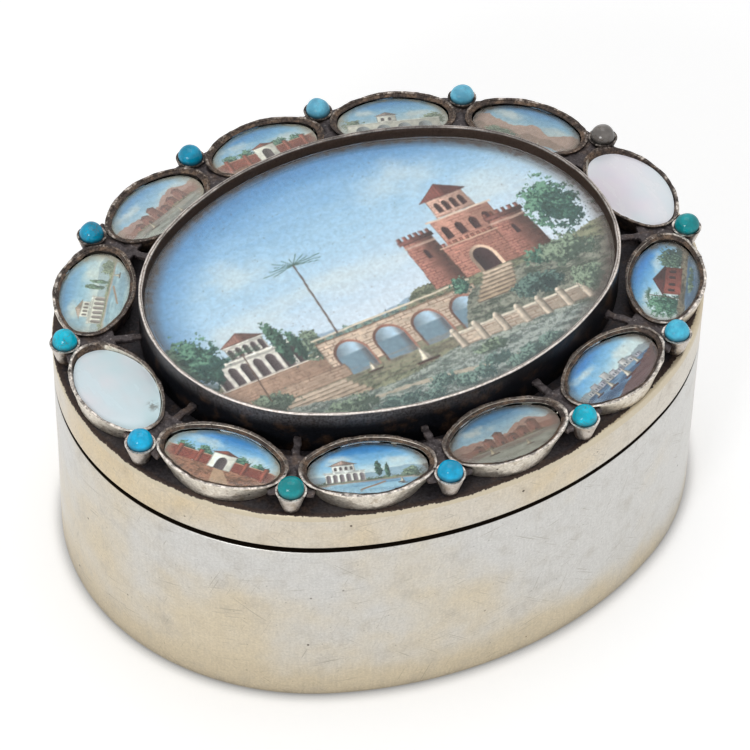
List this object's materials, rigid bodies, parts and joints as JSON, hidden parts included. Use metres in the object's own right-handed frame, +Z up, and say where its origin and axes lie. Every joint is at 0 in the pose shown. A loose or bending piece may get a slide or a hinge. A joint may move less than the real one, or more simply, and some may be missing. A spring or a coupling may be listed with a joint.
{
  "type": "oval trinket box",
  "caption": "Oval silver box with a lift-off lid set with painted oval miniatures, mother-of-pearl and turquoise in raised collets.",
  "frame": {"origin": "centre of the flat bottom, on the surface the box stands on", "axes": "+X along the oval's length towards the second pearl, +Z up out of the lid, so -Y is the long side nearest the picture's camera"},
  "size_m": [0.0804, 0.0662, 0.0367],
  "materials": {
    "worn_gilt_silver": "worn parcel-gilt silver, fine scratches",
    "inner_gilding": "satin gilding",
    "oxidised_silver": "blackened silver",
    "setting_silver": "tarnished silver, bright worn rims",
    "lac": "dark resin",
    "painted_plaque": "fine painting on a thin pale plaque",
    "cover_glass": "clear bevelled glass",
    "mother_of_pearl": "satin lustre with pink and green",
    "blue_turquoise": "polished",
    "green_turquoise": "polished",
    "grey_stone": "polished, cloudy"
  },
  "bodies": {
    "base": {"base_plate": "worn_gilt_silver", "body_collar": "inner_gilding", "body_wall": "worn_gilt_silver"},
    "lid": {"centre_bed": "lac", "centre_bezel": "setting_silver", "centre_glass": "cover_glass", "centre_miniature": "painted_plaque", "collet_01": "setting_silver", "collet_02": "setting_silver", "collet_03": "setting_silver", "collet_04": "setting_silver", "collet_05": "setting_silver", "collet_06": "setting_silver", "collet_07": "setting_silver", "collet_08": "setting_silver", "collet_09": "setting_silver", "collet_10": "setting_silver", "collet_11": "setting_silver", "collet_12": "setting_silver", "gallery_struts": "oxidised_silver", "lid_plate": "oxidised_silver", "lid_rim": "worn_gilt_silver", "miniature_02": "painted_plaque", "miniature_03": "painted_plaque", "miniature_04": "painted_plaque", "miniature_05": "painted_plaque", "miniature_06": "painted_plaque", "miniature_08": "painted_plaque", "miniature_09": "painted_plaque", "miniature_10": "painted_plaque", "miniature_11": "painted_plaque", "miniature_12": "painted_plaque", "pearl_01": "mother_of_pearl", "pearl_07": "mother_of_pearl", "setting_beds": "lac", "setting_glasses": "cover_glass", "stone_01": "blue_turquoise", "stone_02": "green_turquoise", "stone_03": "blue_turquoise", "stone_04": "blue_turquoise", "stone_05": "blue_turquoise", "stone_06": "green_turquoise", "stone_07": "grey_stone", "stone_08": "blue_turquoise", "stone_09": "blue_turquoise", "stone_10": "blue_turquoise", "stone_11": "blue_turquoise", "stone_12": "green_turquoise", "stone_cup_01": "setting_silver", "stone_cup_02": "setting_silver", "stone_cup_03": "setting_silver", "stone_cup_04": "setting_silver", "stone_cup_05": "setting_silver", "stone_cup_06": "setting_silver", "stone_cup_07": "setting_silver", "stone_cup_08": "setting_silver", "stone_cup_09": "setting_silver", "stone_cup_10": "setting_silver", "stone_cup_11": "setting_silver", "stone_cup_12": "setting_silver"}
  },
  "joints": [
    {"name": "lid_lift", "type": "slide", "parent": "base", "child": "lid", "axis": [0, 0, 1], "range_m": [0, 0.04]}
  ]
}
